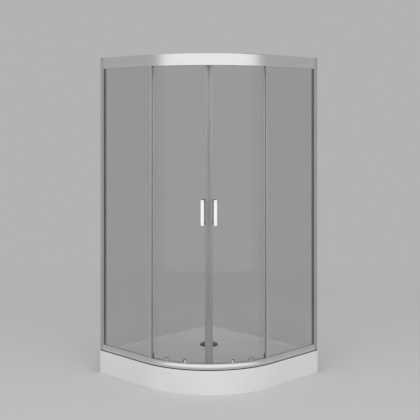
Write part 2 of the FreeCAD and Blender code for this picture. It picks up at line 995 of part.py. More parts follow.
def track_stops():
    """Buffers on the top track, where each door is closed and where it is fully open."""
    level = ("track", "track + stop_height")
    closed = box(
        "closed_stop",
        ("corner_radius - lane_in + fit", "corner_radius - lane_out - fit"),
        ("-stop_half", "stop_half"),
        level,
    )
    held = group("closed_stop_seat", closed)
    place(held, "arc_x", "arc_y", 0, "-45 - front_angle + stop_turn")
    opened = box(
        "open_stop",
        ("arc_x - open_stop - 2*stop_half", "arc_x - open_stop"),
        ("lane_out + fit - half", "lane_in - fit - half"),
        level,
    )
    both(group("left_stops", held, opened), "track_stops")


# ---------------------------------------------------------------- fixed panels


def fixed_panels():
    panel = [
        ("fixed_out", "fixed_low"),
        ("fixed_out", "fixed_high"),
        ("fixed_in", "fixed_high"),
        ("fixed_in", "fixed_low"),
    ]
    start = "post_edge - pocket_depth + 2*gasket"
    reach = "stile_half - stile_web - fit"
    end = f"stile_angle - ({reach})/(corner_radius - fixed_in)*180/pi"
    pair(left_run("fixed_pane", panel, start, end), "fixed_glass_{}")

    seat = ("groove_out + ease", "fixed_out - ease", "fixed_in + ease", "groove_in - ease")
    low = u_section(*seat, "bottom_groove_end", "fixed_low - ease", "bottom_rail_top - fit")
    high = u_section(*seat, "top_groove_end", "fixed_high + ease", "top_rail_low + fit")
    both(
        group(
            "left_gaskets",
            left_run("low_gasket", low, start, end),
            left_run("high_gasket", high, start, end),
        ),
        "glazing_gaskets",
    )
    edge = at_wall(
        "post_gasket",
        [
            ("post_edge - pocket_depth", seat[0]),
            ("post_edge + gasket_proud", seat[0]),
            ("post_edge + gasket_proud", seat[1]),
            (f"{start} - slip", seat[1]),
            (f"{start} - slip", seat[2]),
            ("post_edge + gasket_proud", seat[2]),
            ("post_edge + gasket_proud", seat[3]),
            ("post_edge - pocket_depth", seat[3]),
        ],
        "bottom_rail_top",
        "top_rail_low",
    )
    both(edge, "post_gaskets")

    slot_end = "stile_half - stile_web"
    stile = at_angle(
        "stile",
        [
            ("corner_radius - stile_back", "-stile_half"),
            ("corner_radius - fixed_in - fit", "-stile_half"),
            ("corner_radius - fixed_in - fit", slot_end),
            ("corner_radius - fixed_out + fit", slot_end),
            ("corner_radius - fixed_out + fit", "-stile_half"),
            ("corner_radius - stile_front - stile_round", "-stile_half", "stile_round"),
            ("corner_radius - stile_front", "stile_round - stile_half"),
            ("corner_radius - stile_front", "stile_half - stile_round", "stile_round"),
            ("corner_radius - stile_front - stile_round", "stile_half"),
            ("corner_radius - stile_back", "stile_half"),
        ],
        "bottom_rail_top + ease",
        "top_rail_low - ease",
        "stile_angle",
    )
    pair(stile, "fixed_stile_{}")
    lip = at_angle(
        "stile_lip",
        [
            ("corner_radius - lip_end", "lip_reach - lip_thick"),
            ("corner_radius - stile_back", "-lip_root"),
            ("corner_radius - stile_back", "lip_root"),
            ("corner_radius - lip_end", "lip_reach"),
        ],
        "bottom_rail_top + lip_margin",
        "top_rail_low - lip_margin/4",
        "stile_angle",
    )
    both(lip, "stile_seals")


def at_angle(name, outline, low, high, angle):
    """An upright piece on the arc: (radius, sideways) outline, sideways towards the middle."""
    return plan_body(name, outline, low, high, "arc_x", "arc_y", f"-45 - ({angle})")


# ---------------------------------------------------------------- doors


ROLLERS = {"front": "front_angle", "rear": "rear_angle"}


def on_radius(angle, z):
    """Placement of a turned piece whose axis points outwards at angle."""
    return {"x": "arc_x", "y": "arc_y", "z": z, "turn": f"-45 - ({angle})", "tip": 90}


def radial_hole(name, radius, angle, z):
    return rod(name, radius, "corner_radius", **on_radius(angle, z))


def on_door_arc(length):
    """A length along the doors' glass, as an angle round the arc's centre."""
    return f"(({length})/(corner_radius - door_mid)*180/pi)"


def door_glass():
    pane = [
        ("door_out", "door_bottom"),
        ("door_out", "door_top"),
        ("door_in", "door_top"),
        ("door_in", "door_bottom"),
    ]
    start = on_door_arc("edge_web + edge_floor + fit")
    end = f"trail_angle + {on_door_arc('trail_half - edge_floor - fit')}"
    glass = arc_run("door_pane", pane, start, end)
    holes = []
    for name, angle in ROLLERS.items():
        holes.append(radial_hole(f"{name}_upper_hole", "upper_hole", angle, "upper_z"))
        holes.append(radial_hole(f"{name}_lower_hole", "lower_hole", angle, "lower_z"))
    for level in handle_levels():
        holes.append(radial_hole("handle_hole", "handle_hole", "handle_angle", level))
    pair(cut("door_glass_cut", glass, *holes), "door_glass_{}")


def door_edges():
    outer, inner = "corner_radius - door_face", "corner_radius - door_back"
    slot_out, slot_in = "corner_radius - door_out + fit", "corner_radius - door_in - 3*fit"
    leading = at_angle(
        "leading_edge",
        [
            (inner, "-edge_face"),
            (slot_in, "-edge_face"),
            (slot_in, "-edge_web - edge_floor"),
            (slot_out, "-edge_web - edge_floor"),
            (slot_out, "-edge_face"),
            (f"{outer} - bevel", "-edge_face", "bevel"),
            (outer, "bevel - edge_face"),
            (outer, "-edge_web"),
            (inner, "-edge_web"),
        ],
        "door_bottom",
        "door_top",
        "0",
    )
    pair(leading, "leading_profile_{}")
    magnet = at_angle(
        "magnet",
        [
            (f"{inner} + bevel", "-edge_web"),
            (f"{outer} - bevel", "-edge_web"),
            (f"{outer} - bevel", "-meet_gap - bevel", "bevel"),
            (f"{outer} - 2*bevel", "-meet_gap"),
            (f"{inner} + 2*bevel", "-meet_gap", "bevel"),
            (f"{inner} + bevel", "-meet_gap - bevel"),
        ],
        "door_bottom",
        "door_top",
        "0",
    )
    pair(magnet, "magnet_seal_{}")
    trailing = at_angle(
        "trailing_edge",
        [
            (inner, "-trail_half"),
            (outer, "-trail_half"),
            (outer, "trail_half"),
            (slot_out, "trail_half"),
            (slot_out, "edge_floor - trail_half"),
            (slot_in, "edge_floor - trail_half"),
            (slot_in, "trail_half"),
            (inner, "trail_half"),
        ],
        "door_bottom",
        "door_top",
        "trail_angle",
    )
    pair(trailing, "trailing_profile_{}")
    sweep = [
        ("door_out", "door_bottom - fit"),
        ("door_out", "door_bottom - fit - sweep_thick"),
        ("door_mid - sweep_thick/2", "door_bottom - fit - sweep_thick"),
        ("door_mid - sweep_thick/2", "door_bottom - sweep_drop"),
        ("door_mid + sweep_thick/2", "door_bottom - sweep_drop"),
        ("door_mid + sweep_thick/2", "door_bottom - fit - sweep_thick"),
        ("door_in + fit + sweep_thick", "door_bottom - fit - sweep_thick"),
        ("door_in + fit + sweep_thick", "door_bottom + sweep_leg"),
        ("door_in + fit", "door_bottom + sweep_leg"),
        ("door_in + fit", "door_bottom - fit"),
    ]
    start = on_door_arc("edge_face + fit")
    end = f"trail_angle - {on_door_arc('trail_half + fit')}"
    pair(arc_run("sweep", sweep, start, end), "bottom_seal_{}")


def handle_levels():
    reach = "(handle_length/2 - handle_post_edge)"
    return [f"handle_z - {reach}", f"handle_z + {reach}"]


def handles():
    spans = {
        "outer": "corner_radius - door_out + handle_gap",
        "inner": "corner_radius - door_in - handle_gap - handle_thick",
    }
    for side, start in spans.items():
        bar = plan_body(
            side + "_bar",
            [
                (start, "-handle_width/2"),
                (f"{start} + handle_thick", "-handle_width/2"),
                (f"{start} + handle_thick", "handle_width/2"),
                (start, "handle_width/2"),
            ],
            "handle_z - handle_length/2",
            "handle_z + handle_length/2",
        )
        doc.recompute()
        rounding = bar.newObject("PartDesign::Fillet", side + "_bar_edges")
        rounding.Base = (bar.Group[1], [f"Edge{i}" for i in range(1, 13)])
        bind(rounding, Radius="handle_round")
        posts, bores = [], []
        for i, z in enumerate(handle_levels()):
            if side == "outer":
                low, length = "corner_radius - door_out + fit", "handle_gap"
                bores.append(rod(f"handle_bore_{i}", "handle_bolt + fit", "bolt_reach + 4*overcut",
                                 x=f"{low} - overcut", z=z, tip=90))
            else:
                low = "corner_radius - door_in - handle_gap - overcut"
                length = "handle_gap + overcut - fit"
                posts.append(rod(f"handle_stud_{i}", "handle_bolt", "handle_gap + glass + bolt_reach",
                                 x=low, z=z, tip=90))
            posts.append(rod(f"{side}_post_{i}", "handle_post_radius", length, x=low, z=z, tip=90))
        whole = fuse(side + "_handle", bar, *posts)
        if bores:
            whole = cut(side + "_handle_bored", whole, *bores)
        place(whole, "arc_x", "arc_y", 0, "-45 - handle_angle")
        pair(whole, "handle_{}" if side == "outer" else "handle_inner_{}")


# ---------------------------------------------------------------- rollers


def from_centre(outline):
    """A turned piece's (radius, inset) outline, as (radius, distance from the arc's centre)."""
    return [(corner[0], f"corner_radius - ({corner[1]})", *corner[2:]) for corner in outline]


def wheel(name, radius, axle, angle, z):
    """A roller with bevelled rims."""
    bore = f"{axle} + bore_clear"
    outline = [
        (bore, "wheel_in"),
        (f"{radius} - rim_bevel", "wheel_in"),
        (radius, "wheel_in - rim_bevel"),
        (radius, "wheel_out + rim_bevel"),
        (f"{radius} - rim_bevel", "wheel_out"),
        (bore, "wheel_out"),
    ]
    return turned_body(name, from_centre(outline), **on_radius(angle, z))


def upper_mount(name, angle):
    """The upper roller's axle, its seat in the glass and its cap inside the cabin."""
    outline = [
        ("0", "door_in + fit + upper_cap_deep"),
        ("upper_cap - 2*bevel", "door_in + fit + upper_cap_deep"),
        ("upper_cap", "door_in + fit + upper_cap_deep - 2*bevel"),
        ("upper_cap", "door_in + fit"),
        ("upper_hole - fit", "door_in + fit"),
        ("upper_hole - fit", "door_out - slip"),
        ("upper_flange", "door_out - slip"),
        ("upper_flange", "door_face"),
        ("upper_axle", "door_face"),
        ("upper_axle", "head_out + spindle_head"),
        ("upper_axle + axle_head", "head_out + spindle_head"),
        ("upper_axle + axle_head", "head_out"),
        ("0", "head_out"),
    ]
    return turned_body(name, from_centre(outline), **on_radius(angle, "upper_z"))


def guide_bush(name, angle):
    """The lower roller's bush in the glass, with an upright slot for the stud."""
    sleeve = rod(name + "_sleeve", "lower_hole - fit", "glass + fit",
                 x="corner_radius - door_in - fit", z="lower_z", tip=90)
    flange = rod(name + "_flange", "bush_flange", "bush_flange_thick",
                 x="corner_radius - door_in - fit - bush_flange_thick", z="lower_z", tip=90)
    slot = box(
        name + "_slot",
        (
            "corner_radius - door_in - fit - bush_flange_thick - overcut",
            "corner_radius - door_out + overcut",
        ),
        ("-stud - fit", "stud + fit"),
        ("lower_z - slot_down", "lower_z + slot_up"),
    )
    bush = cut(name, fuse(name + "_body", sleeve, flange), slot)
    return place(bush, "arc_x", "arc_y", 0, f"-45 - ({angle})")


def carriage(name, angle):
    """The lower roller's carriage: a round faced plate outside the glass, a stud and a button."""
    plate = box(
        name + "_plate",
        ("corner_radius - door_out + fit", "corner_radius - door_face"),
        ("-plate_half", "plate_half"),
        ("lower_wheel_z - plate_low", "lower_z + plate_high"),
    )
    disc = [
        ("0", "door_out - fit"),
        ("lower_disc", "door_out - fit"),
        ("lower_disc", "door_face + bevel"),
        ("lower_disc - bevel", "door_face"),
        ("0", "door_face"),
    ]
    spindle = [
        ("0", "door_out - fit"),
        ("lower_axle", "door_out - fit"),
        ("lower_axle", "head_out + spindle_head"),
        ("lower_axle + axle_head", "head_out + spindle_head"),
        ("lower_axle + axle_head", "head_out"),
        ("0", "head_out"),
    ]
    cap_seat = "(door_in + 2*fit + bush_flange_thick)"
    button = [
        ("0", f"{cap_seat} + lower_cap_deep"),
        ("button_well - bevel", f"{cap_seat} + lower_cap_deep"),
        ("button_well", f"{cap_seat} + lower_cap_deep - button_dip"),
        ("button_land", f"{cap_seat} + lower_cap_deep - button_dip"),
        ("button_land + bevel", f"{cap_seat} + lower_cap_deep"),
        ("lower_cap - button_dip", f"{cap_seat} + lower_cap_deep"),
        ("lower_cap", f"{cap_seat} + lower_cap_deep - button_dip"),
        ("lower_cap", cap_seat),
        ("stud", cap_seat),
        ("stud", "door_out - 2*fit"),
        ("0", "door_out - 2*fit"),
    ]
    axis = {"tip": 90}
    pieces = [
        plate,
        turned_body(name + "_disc", from_centre(disc), z="lower_z", **axis),
        turned_body(name + "_spindle", from_centre(spindle), z="lower_wheel_z", **axis),
        turned_body(name + "_button", from_centre(button), z="lower_z", **axis),
    ]
    return place(fuse(name, *pieces), "arc_x", "arc_y", 0, f"-45 - ({angle})")


def spring(name, angle):
    """The compression spring under the stud, in the bush's slot."""
    body = doc.addObject("PartDesign::Body", name)
    sketch = draw_circle(new_sketch(body, "XZ_Plane"), "spring_radius", "0", "spring_wire")
    coil = body.newObject("PartDesign::AdditiveHelix", name + "_coil")
    coil.Profile = sketch
    coil.ReferenceAxis = (sketch, ["V_Axis"])
    coil.Mode = 0
    bind(coil, Pitch="spring_pitch", Height="slot_down - stud - 2*fit - 2*spring_wire")
    reach, turn = "(corner_radius - door_mid)", f"(-45 - {angle})"
    return place(
        body,
        f"arc_x + {reach}*cos{turn}",
        f"arc_y + {reach}*sin{turn}",
        "lower_z - slot_down + fit + spring_wire",
        turn,
    )


def rollers():
    mounts = []
    for name, angle in ROLLERS.items():
        upper = wheel(f"{name}_upper_wheel", "upper_wheel", "upper_axle", angle, "upper_z")
        lower = wheel(f"{name}_lower_wheel", "lower_wheel", "lower_axle", angle, "lower_wheel_z")
        pair(upper, "upper_wheel_" + name + "_{}")
        pair(lower, "lower_wheel_" + name + "_{}")
        pair(carriage(f"{name}_carriage", angle), "lower_carriage_" + name + "_{}")
        pair(spring(f"{name}_spring", angle), "lower_spring_" + name + "_{}")
        mounts += [upper_mount(f"{name}_mount", angle), guide_bush(f"{name}_bush", angle)]
    pair(group("left_mounts", *mounts), "roller_mounts_{}")


# ---------------------------------------------------------------- building and writing

tray_shell()
tray_board()
tray_frame()
tray_legs()
waste()
corner_blocks(wall_frame())
rails()
track_stops()
fixed_panels()
door_glass()
door_edges()
handles()
rollers()
doc.recompute()

failed = [item.Name for item in doc.Objects if {"Invalid", "Error"} & set(item.State)]
if failed:
    raise RuntimeError(f"these objects failed: {failed}")
for node, item in parts.items():
    if item.Shape.isNull() or not item.Shape.isValid() or not item.Shape.Solids:
        raise RuntimeError(f"{node} has no valid shape")

os.makedirs("parts", exist_ok=True)
for node, item in sorted(parts.items()):
    item.Shape.exportStep(f"parts/{node}.step")
    print(f"{node}: {len(item.Shape.Solids)} solids, {item.Shape.Volume / 1000:.1f} cm3")
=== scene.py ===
import math

import bmesh
import bpy
from mathutils import Matrix, Vector


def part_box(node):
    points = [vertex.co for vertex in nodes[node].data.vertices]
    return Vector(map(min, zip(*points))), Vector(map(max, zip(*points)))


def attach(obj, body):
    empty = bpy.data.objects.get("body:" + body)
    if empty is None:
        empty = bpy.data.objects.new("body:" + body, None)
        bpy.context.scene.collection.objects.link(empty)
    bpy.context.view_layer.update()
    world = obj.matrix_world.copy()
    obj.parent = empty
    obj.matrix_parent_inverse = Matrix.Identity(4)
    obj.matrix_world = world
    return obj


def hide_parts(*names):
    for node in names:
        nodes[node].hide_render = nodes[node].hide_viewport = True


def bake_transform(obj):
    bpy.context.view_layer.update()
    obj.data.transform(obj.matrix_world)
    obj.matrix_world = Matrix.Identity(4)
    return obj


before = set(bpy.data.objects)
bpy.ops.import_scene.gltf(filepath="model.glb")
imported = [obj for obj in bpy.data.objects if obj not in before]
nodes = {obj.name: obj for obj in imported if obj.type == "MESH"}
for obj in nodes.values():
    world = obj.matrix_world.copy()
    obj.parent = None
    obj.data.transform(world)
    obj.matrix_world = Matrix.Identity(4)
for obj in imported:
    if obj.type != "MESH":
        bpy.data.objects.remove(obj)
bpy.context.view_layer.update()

scene = bpy.context.scene
print("frame loaded:", len(nodes), "nodes")


# shader maths: a Wire is one socket's value, a Recipe builds the nodes of a material or the world
class Wire:
    def __init__(self, recipe, socket):
        self.recipe = recipe
        self.socket = socket

    def math(self, operation, first, second):
        return self.recipe.add("Math", {"operation": operation}, {0: first, 1: second})

    def __add__(self, other):
        return self.math("ADD", self, other)

    def __radd__(self, other):
        return self.math("ADD", other, self)

    def __sub__(self, other):
        return self.math("SUBTRACT", self, other)

    def __rsub__(self, other):
        return self.math("SUBTRACT", other, self)

    def __mul__(self, other):
        return self.math("MULTIPLY", self, other)

    def __rmul__(self, other):
        return self.math("MULTIPLY", other, self)


class Recipe:
    middle = (0.3, 0.7)  # where most values of a noise lie

    def __init__(self, tree):
        self.tree = tree
        self.tree.nodes.clear()

    def node(self, kind, settings, sockets):
        made = self.tree.nodes.new("ShaderNode" + kind)
        for key, value in settings.items():
            setattr(made, key, value)
        for key, value in sockets.items():
            if isinstance(value, Wire):
                self.tree.links.new(value.socket, made.inputs[key])
            else:
                made.inputs[key].default_value = value
        return made

    def add(self, kind, settings=None, sockets=None, output=0):
        return Wire(self, self.node(kind, settings or {}, sockets or {}).outputs[output])

    def place(self, scale):
        spot = self.add("TexCoord", output="Object")
        return self.add("Mapping", {}, {"Vector": spot, "Scale": scale})

    def noise(self, scale, detail):
        sockets = {"Vector": self.place(scale), "Scale": 1.0, "Detail": detail}
        return self.add("TexNoise", {}, sockets)

    def cells(self, scale):
        return self.add("TexVoronoi", {}, {"Vector": self.place(scale), "Scale": 1.0}, "Color")

    def spread(self, value, low, high):  # stretches the middle of a noise over low to high
        start, end = self.middle
        return self.add("MapRange", {}, {0: value, 1: start, 2: end, 3: low, 4: high})

    def ease(self, value, start, end):  # 0 before start, 1 beyond end, smooth in between
        return self.add("MapRange", {"interpolation_type": "SMOOTHSTEP"},
                        {0: value, 1: start, 2: end, 3: 0.0, 4: 1.0})

    def mix(self, mask, first, second):
        return self.add("Mix", {"data_type": "RGBA"}, {0: mask, 6: first, 7: second}, 2)

    def bump(self, height, strength, distance):
        return self.add("Bump", {}, {"Height": height, "Strength": strength, "Distance": distance})

    def end(self, shader, kind="OutputMaterial"):
        self.node(kind, {}, {"Surface": shader})


def grey(shade, tint=(1.0, 1.0, 1.0)):
    return (shade * tint[0], shade * tint[1], shade * tint[2], 1.0)


def newFinish(name):
    material = bpy.data.materials.new(name)
    material.use_nodes = True
    return material, Recipe(material.node_tree)


def toward(point, target):  # rotation that looks from point to target
    return (Vector(target) - Vector(point)).to_track_quat("-Z", "Y").to_euler()


# camera, as the photograph was taken
cameraSet = {
    "place": (4.165, -4.165, 1.678),
    "turn": (90.0, 0.0, 45.0),  # degrees: level, along the enclosure's diagonal
    "lens": 77.66,
    "shift": (0.0026, -0.2279),
    "sensor": 36.0,
    "far": 100.0,
}
cameraData = bpy.data.cameras.new("photoCamera")
cameraData.lens = cameraSet["lens"]
cameraData.sensor_width = cameraSet["sensor"]
cameraData.shift_x, cameraData.shift_y = cameraSet["shift"]
cameraData.clip_end = cameraSet["far"]
camera = bpy.data.objects.new("photoCamera", cameraData)
camera.location = cameraSet["place"]
camera.rotation_euler = [math.radians(angle) for angle in cameraSet["turn"]]
scene.collection.objects.link(camera)
scene.camera = camera
scene.view_settings.view_transform = "Standard"
print("camera placed")


# studio: a pale floor that runs out into a pale background, a soft front and grey sides
studio = {
    "background": 0.45,
    "floorShade": 0.62,
    "floorRoughness": 0.8,
    "floorShine": 0.2,
    "floorRadius": 4.6,
    "floorSteps": 96,
    "floorDrop": 0.0004,  # how far the floor lies under the feet
    "fadeStart": 1.6,  # metres from the middle, where the floor starts to turn into the background
    "fadeEnd": 4.5,
    "front": 1.02,  # the light from the camera's side
    "sides": 0.42,
    "toCamera": (0.7071, -0.7071, 0.0),
    "frontEdge": (0.12, 0.52),  # cosine of the angle off the camera's axis, where that light ends
    "lampPlace": (0.9, -0.9, 4.6),
    "lampTarget": (0.0, 0.0, 0.7),
    "lampSize": 3.2,
    "lampPower": 62.0,
}
world = bpy.data.worlds.new("studio")
scene.world = world
world.use_nodes = True
sky = Recipe(world.node_tree)
direction = sky.add("TexCoord", output="Generated")
facing = sky.add("VectorMath", {"operation": "DOT_PRODUCT"},
                 {0: direction, 1: studio["toCamera"]}, 1)
frontMask = sky.ease(facing, *studio["frontEdge"])
lit = sky.mix(frontMask, grey(studio["sides"]), grey(studio["front"]))
direct = sky.add("LightPath", output="Is Camera Ray")
through = sky.add("LightPath", output="Is Transmission Ray")
mirrored = sky.add("LightPath", output="Is Glossy Ray") * (1.0 - frontMask)
shade = sky.mix(direct + through + mirrored, lit, grey(studio["background"]))
sky.end(sky.add("Background", {}, {0: shade, 1: 1.0}), "OutputWorld")

lampData = bpy.data.lights.new("softLamp", "AREA")
lampData.shape = "DISK"
lampData.size = studio["lampSize"]
lampData.energy = studio["lampPower"]
lamp = bpy.data.objects.new("softLamp", lampData)
lamp.location = studio["lampPlace"]
lamp.rotation_euler = toward(studio["lampPlace"], studio["lampTarget"])
lamp.visible_glossy = False  # the metal mirrors the soft surroundings and not the lamp
scene.collection.objects.link(lamp)

floorMaterial, floorRecipe = newFinish("paleFloor")
floorSpot = floorRecipe.add("TexCoord", output="Object")
fromMiddle = floorRecipe.add("VectorMath", {"operation": "LENGTH"}, {0: floorSpot}, 1)
farMask = floorRecipe.ease(fromMiddle, studio["fadeStart"], studio["fadeEnd"])
floorSurface = floorRecipe.add("BsdfPrincipled", {}, {
    "Base Color": grey(studio["floorShade"]), "Roughness": studio["floorRoughness"],
    "Specular IOR Level": studio["floorShine"]})
farSurface = floorRecipe.add("Emission", {}, {0: grey(studio["background"]), 1: 1.0})
floorRecipe.end(floorRecipe.add("MixShader", {}, {0: farMask, 1: floorSurface, 2: farSurface}))
floorShape = bmesh.new()
bmesh.ops.create_circle(floorShape, cap_ends=True, segments=studio["floorSteps"],
                        radius=studio["floorRadius"])
bmesh.ops.translate(floorShape, verts=floorShape.verts, vec=(0.0, 0.0, -studio["floorDrop"]))
floorMesh = bpy.data.meshes.new("floor")
floorShape.to_mesh(floorMesh)
floorShape.free()
floor = bpy.data.objects.new("floor", floorMesh)
floorMesh.materials.append(floorMaterial)
scene.collection.objects.link(floor)
print("studio set")


def toned(recipe, mask, look):  # from the look's dark tone to its light one
    tint = look.get("tint", (1.0, 1.0, 1.0))
    return recipe.mix(mask, grey(look["dark"], tint), grey(look["light"], tint))


# finishes: broad clouds of tone, and a fine grain that roughens and lifts the surface
plain = {"cloudDetail": 4.0, "grainDetail": 2.0, "grainShare": 0.5}


def plainFinish(name, look):
    material, recipe = newFinish(name)
    clouds = recipe.noise(look["cloudScale"], plain["cloudDetail"])
    grain = recipe.noise(look["grainScale"], plain["grainDetail"])
    texture = grain * plain["grainShare"] + clouds * (1.0 - plain["grainShare"])
    rough = recipe.spread(texture, look["roughLow"], look["roughHigh"])
    sockets = {
        "Base Color": toned(recipe, recipe.spread(clouds, 0.0, 1.0), look),
        "Roughness": rough,
        "Metallic": look.get("metallic", 0.0),
        "Normal": recipe.bump(grain, look["bump"], look["bumpDepth"]),
    }
    sockets.update(look.get("extra", {}))
    recipe.end(recipe.add("BsdfPrincipled", {}, sockets))
    return material


railAluminium = {  # polished and anodised, drawn along the curved rails
    "dark": 0.76, "light": 0.80, "tint": (0.995, 1.0, 1.005),
    "cloudScale": (2.0, 2.0, 60.0), "grainScale": (4.0, 4.0, 1400.0),
    "roughLow": 0.23, "roughHigh": 0.29, "metallic": 1.0, "bump": 0.015, "bumpDepth": 0.0003,
}
postShadedAluminium = {  # the same metal in the uprights, drawn along their length; its tone, darker than the rails', is painted shade
    "dark": 0.60, "light": 0.66, "tint": (0.995, 1.0, 1.005),
    "cloudScale": (120.0, 120.0, 2.0), "grainScale": (1400.0, 1400.0, 4.0),
    "roughLow": 0.28, "roughHigh": 0.36, "metallic": 1.0, "bump": 0.03, "bumpDepth": 0.0003,
}
doorShadedAluminium = {  # satin: the doors' edge profiles, which face the front light; their darkened tone is painted shade
    "dark": 0.35, "light": 0.39, "tint": (0.995, 1.0, 1.005),
    "cloudScale": (120.0, 120.0, 2.0), "grainScale": (1400.0, 1400.0, 4.0),
    "roughLow": 0.36, "roughHigh": 0.46, "metallic": 1.0, "bump": 0.03, "bumpDepth": 0.0003,
}
satinShadedAluminium = {  # coarser, in the profiles that run behind the stiles; its darker tone is painted shade
    "dark": 0.46, "light": 0.52, "tint": (0.995, 1.0, 1.005),
    "cloudScale": (120.0, 120.0, 2.0), "grainScale": (1400.0, 1400.0, 4.0),
    "roughLow": 0.50, "roughHigh": 0.60, "metallic": 0.45, "bump": 0.03, "bumpDepth": 0.0003,
}
chromeLook = {
    "dark": 0.85, "light": 0.90,
    "cloudScale": (30.0, 30.0, 30.0), "grainScale": (900.0, 900.0, 900.0),
    "roughLow": 0.05, "roughHigh": 0.12, "metallic": 1.0, "bump": 0.02, "bumpDepth": 0.0001,
}
acrylicLook = {  # pressed acrylic: even, glossy, with a very slight waviness
    "dark": 0.83, "light": 0.87, "tint": (0.995, 1.0, 1.0),
    "cloudScale": (4.0, 4.0, 4.0), "grainScale": (26.0, 26.0, 26.0),
    "roughLow": 0.16, "roughHigh": 0.26, "bump": 0.05, "bumpDepth": 0.0006,
    "extra": {"Coat Weight": 0.25, "Coat Roughness": 0.08},
}
coverLook = {  # the waste's dark plate
    "dark": 0.012, "light": 0.028,
    "cloudScale": (60.0, 60.0, 60.0), "grainScale": (900.0, 900.0, 900.0),
    "roughLow": 0.22, "roughHigh": 0.34, "metallic": 0.3, "bump": 0.04, "bumpDepth": 0.0002,
    "extra": {"Specular IOR Level": 0.25},
}
steelLook = {
    "dark": 0.68, "light": 0.76,
    "cloudScale": (40.0, 40.0, 40.0), "grainScale": (700.0, 700.0, 700.0),
    "roughLow": 0.12, "roughHigh": 0.22, "metallic": 1.0, "bump": 0.03, "bumpDepth": 0.0002,
}
zincLook = {
    "dark": 0.50, "light": 0.66, "tint": (1.0, 0.99, 0.95),
    "cloudScale": (120.0, 120.0, 120.0), "grainScale": (1100.0, 1100.0, 1100.0),
    "roughLow": 0.30, "roughHigh": 0.46, "metallic": 1.0, "bump": 0.06, "bumpDepth": 0.0002,
}
blackLook = {
    "dark": 0.018, "light": 0.030,
    "cloudScale": (60.0, 60.0, 60.0), "grainScale": (1500.0, 1500.0, 1500.0),
    "roughLow": 0.46, "roughHigh": 0.60, "bump": 0.15, "bumpDepth": 0.0002,
}
rubberLook = {
    "dark": 0.014, "light": 0.026,
    "cloudScale": (80.0, 80.0, 80.0), "grainScale": (900.0, 900.0, 900.0),
    "roughLow": 0.62, "roughHigh": 0.80, "bump": 0.12, "bumpDepth": 0.0002,
}
whiteLook = {
    "dark": 0.72, "light": 0.78, "tint": (1.0, 1.0, 0.985),
    "cloudScale": (30.0, 30.0, 30.0), "grainScale": (1200.0, 1200.0, 1200.0),
    "roughLow": 0.30, "roughHigh": 0.42, "bump": 0.08, "bumpDepth": 0.0002,
}
nylonLook = {
    "dark": 0.66, "light": 0.74, "tint": (1.0, 1.0, 0.97),
    "cloudScale": (200.0, 200.0, 200.0), "grainScale": (1500.0, 1500.0, 1500.0),
    "roughLow": 0.34, "roughHigh": 0.46, "bump": 0.08, "bumpDepth": 0.0001,
}
capLook = {  # the caps on the posts
    "dark": 0.30, "light": 0.36,
    "cloudScale": (90.0, 90.0, 90.0), "grainScale": (1500.0, 1500.0, 1500.0),
    "roughLow": 0.34, "roughHigh": 0.46, "bump": 0.10, "bumpDepth": 0.0002,
}
gasketLook = {  # in the posts
    "dark": 0.050, "light": 0.075,
    "cloudScale": (40.0, 40.0, 6.0), "grainScale": (1200.0, 1200.0, 60.0),
    "roughLow": 0.44, "roughHigh": 0.58, "bump": 0.10, "bumpDepth": 0.0002,
}
railGasketLook = {  # in the rails
    "dark": 0.33, "light": 0.38,
    "cloudScale": (12.0, 12.0, 40.0), "grainScale": (300.0, 300.0, 900.0),
    "roughLow": 0.44, "roughHigh": 0.58, "bump": 0.10, "bumpDepth": 0.0002,
}
vinylLook = {  # the doors' seals
    "dark": 0.34, "light": 0.42,
    "cloudScale": (30.0, 30.0, 4.0), "grainScale": (900.0, 900.0, 30.0),
    "roughLow": 0.28, "roughHigh": 0.40, "bump": 0.06, "bumpDepth": 0.0002,
    "extra": {"Transmission Weight": 0.35},
}
paleVinylLook = {  # the lip seals on the stiles
    "dark": 0.66, "light": 0.74,
    "cloudScale": (30.0, 30.0, 4.0), "grainScale": (900.0, 900.0, 30.0),
    "roughLow": 0.34, "roughHigh": 0.46, "bump": 0.06, "bumpDepth": 0.0002,
    "extra": {"Transmission Weight": 0.2},
}


def galvanised(name):  # zinc spangles on the steel tubes
    look = {
        "dark": 0.36, "light": 0.60, "spangleScale": (70.0, 70.0, 70.0), "spangleShare": 0.7,
        "dustScale": (14.0, 14.0, 14.0), "dustDetail": 5.0,
        "roughLow": 0.38, "roughHigh": 0.58, "metallic": 0.85, "bump": 0.08, "bumpDepth": 0.0003,
    }
    material, recipe = newFinish(name)
    spangle = recipe.add("SeparateColor", {}, {0: recipe.cells(look["spangleScale"])})
    dust = recipe.noise(look["dustScale"], look["dustDetail"])
    mask = spangle * look["spangleShare"] + dust * (1.0 - look["spangleShare"])
    recipe.end(recipe.add("BsdfPrincipled", {}, {
        "Base Color": toned(recipe, mask, look), "Metallic": look["metallic"],
        "Roughness": recipe.spread(dust, look["roughLow"], look["roughHigh"]),
        "Normal": recipe.bump(spangle, look["bump"], look["bumpDepth"])}))
    return material


def chipboard(name):  # pressed chips under the tray's floor
    look = {
        "dark": (0.33, 0.22, 0.12, 1.0), "light": (0.62, 0.47, 0.29, 1.0),
        "chipScale": (160.0, 90.0, 160.0), "chipShare": 0.65,
        "speckScale": (420.0, 420.0, 420.0), "speckDetail": 4.0,
        "roughLow": 0.72, "roughHigh": 0.90, "bump": 0.30, "bumpDepth": 0.0006,
    }
    material, recipe = newFinish(name)
    chips = recipe.add("SeparateColor", {}, {0: recipe.cells(look["chipScale"])})
    specks = recipe.noise(look["speckScale"], look["speckDetail"])
    mask = chips * look["chipShare"] + specks * (1.0 - look["chipShare"])
    recipe.end(recipe.add("BsdfPrincipled", {}, {
        "Base Color": recipe.mix(mask, look["dark"], look["light"]),
        "Roughness": recipe.spread(specks, look["roughLow"], look["roughHigh"]),
        "Normal": recipe.bump(mask, look["bump"], look["bumpDepth"])}))
    return material


